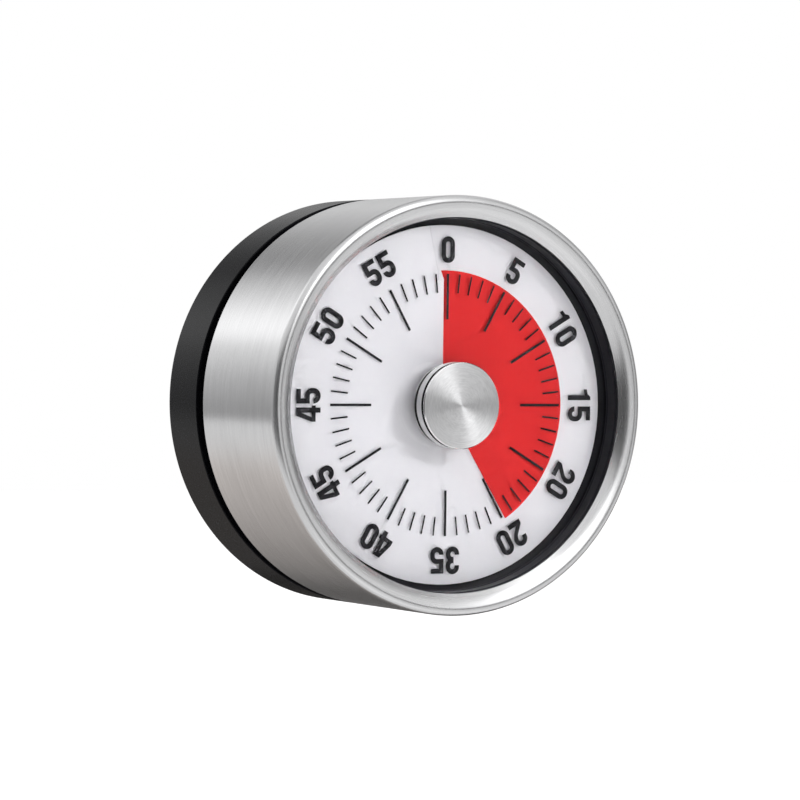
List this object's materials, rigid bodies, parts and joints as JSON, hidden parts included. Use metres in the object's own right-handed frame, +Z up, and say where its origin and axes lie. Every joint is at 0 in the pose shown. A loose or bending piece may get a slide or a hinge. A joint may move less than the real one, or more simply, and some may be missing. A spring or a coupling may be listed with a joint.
{
  "type": "visual countdown timer",
  "caption": "Round wind-up sixty-minute countdown timer with a steel case, a white dial, a red disc that shows the time left, and a magnet back.",
  "frame": {"origin": "centre of the flat magnet face at the back", "axes": "-Y out of the dial, +Y out of the magnet face, +Z up towards the dial's zero mark"},
  "size_m": [0.08, 0.0466, 0.08],
  "materials": {
    "steel_shell": "circumferentially brushed stainless steel, polished bezel edge",
    "rear_shell": "fine-textured black ABS",
    "groove_black": "matt black ABS",
    "dial_ring": "satin black ABS",
    "white_dial": "matt white printed sheet",
    "red_disc": "matt red plastic film",
    "ink": "black pad-printed ink",
    "lens": "clear acrylic",
    "knob_steel": "spun stainless steel with a bright chamfer",
    "knob_black": "matt black ABS",
    "rubber": "soft black rubber",
    "zinc_steel": "zinc-plated steel",
    "magnet": "ground ferrite",
    "screw_steel": "black-zinc screws",
    "brass": "stamped brass",
    "arbor_steel": "turned steel",
    "spring_steel": "blued spring steel",
    "bell_steel": "nickel-plated steel",
    "white_plastic": "natural acetal"
  },
  "bodies": {
    "case": {"rear_case": "rear_shell", "rubber_ring": "rubber", "magnet_cup": "zinc_steel", "magnet_core": "magnet", "case_screws": "screw_steel", "inner_frame": "groove_black", "steel_shell": "steel_shell", "dial_ring": "dial_ring", "dial_spacer": "dial_ring", "scale_lens": "lens", "minute_marks": "ink", "numerals": "ink", "dial_plate": "white_dial", "front_plate": "brass", "rear_plate": "brass", "plate_pillars": "arbor_steel", "plate_screws": "screw_steel", "hanger_posts": "arbor_steel", "hanger_screws": "screw_steel", "arbor_bushes": "brass", "mainspring": "spring_steel", "bell_washer": "zinc_steel", "bell": "bell_steel", "bell_screw": "screw_steel"},
    "knob": {"knob_cap": "knob_steel", "knob_core": "knob_black", "knob_skirt": "knob_steel", "knob_washer": "white_plastic", "main_arbor": "arbor_steel", "arbor_clip": "spring_steel", "main_wheel": "brass", "ratchet_wheel": "arbor_steel", "click_stud": "arbor_steel", "release_cam": "white_plastic"},
    "click": {"click": "arbor_steel"},
    "time_disc": {"disc_hub": "white_plastic", "red_disc": "red_disc"},
    "second_mobile": {"second_arbor": "arbor_steel", "second_wheel": "brass"},
    "third_mobile": {"third_arbor": "arbor_steel", "third_wheel": "brass"},
    "escape_mobile": {"escape_arbor": "arbor_steel", "escape_wheel": "brass"},
    "balance": {"pallet_arbor": "arbor_steel", "pallet_lever": "arbor_steel", "balance_bar": "brass"},
    "hammer": {"hammer_arbor": "arbor_steel", "hammer_arm": "arbor_steel", "hammer_head": "brass", "hammer_tail": "arbor_steel"}
  },
  "joints": [
    {"name": "knob_turn", "type": "hinge", "parent": "case", "child": "knob", "pos_m": [0, -0.044, 0], "axis": [0, 1, 0], "range_deg": [-148, 211.8]},
    {"name": "disc_climb", "type": "slide", "parent": "knob", "child": "time_disc", "axis": [0, -1, 0], "range_m": [-0.00017, 0.00024]},
    {"name": "click_lift", "type": "hinge", "parent": "knob", "child": "click", "pos_m": [0.0078, -0.019, 0.00703], "axis": [0, -1, 0], "range_deg": [0, 8]},
    {"name": "second_spin", "type": "hinge", "parent": "case", "child": "second_mobile", "pos_m": [-0.01926, -0.0235, -0.00701], "axis": [0, 1, 0], "range_deg": [-1524.96, 1065.6]},
    {"name": "third_spin", "type": "hinge", "parent": "case", "child": "third_mobile", "pos_m": [-0.00914, -0.0235, -0.01908], "axis": [0, 1, 0], "range_deg": [-6393.6, 9149.76]},
    {"name": "escape_spin", "type": "hinge", "parent": "case", "child": "escape_mobile", "pos_m": [0.00268, -0.0235, -0.02116], "axis": [0, 1, 0], "range_deg": [-45748.8, 31968]},
    {"name": "balance_rock", "type": "hinge", "parent": "case", "child": "balance", "pos_m": [0.0102, -0.0235, -0.01842], "axis": [0, 1, 0], "range_deg": [-4, 4]},
    {"name": "hammer_swing", "type": "hinge", "parent": "case", "child": "hammer", "pos_m": [0.0155, -0.0235, 0.0145], "axis": [0, 1, 0], "range_deg": [-6, 1.5]}
  ],
  "couplings": [
    {"joint": "disc_climb", "follows": "knob_turn", "m_per_rad": 0.000063662},
    {"joint": "second_spin", "follows": "knob_turn", "ratio": -7.2},
    {"joint": "third_spin", "follows": "knob_turn", "ratio": 43.2},
    {"joint": "escape_spin", "follows": "knob_turn", "ratio": -216}
  ]
}
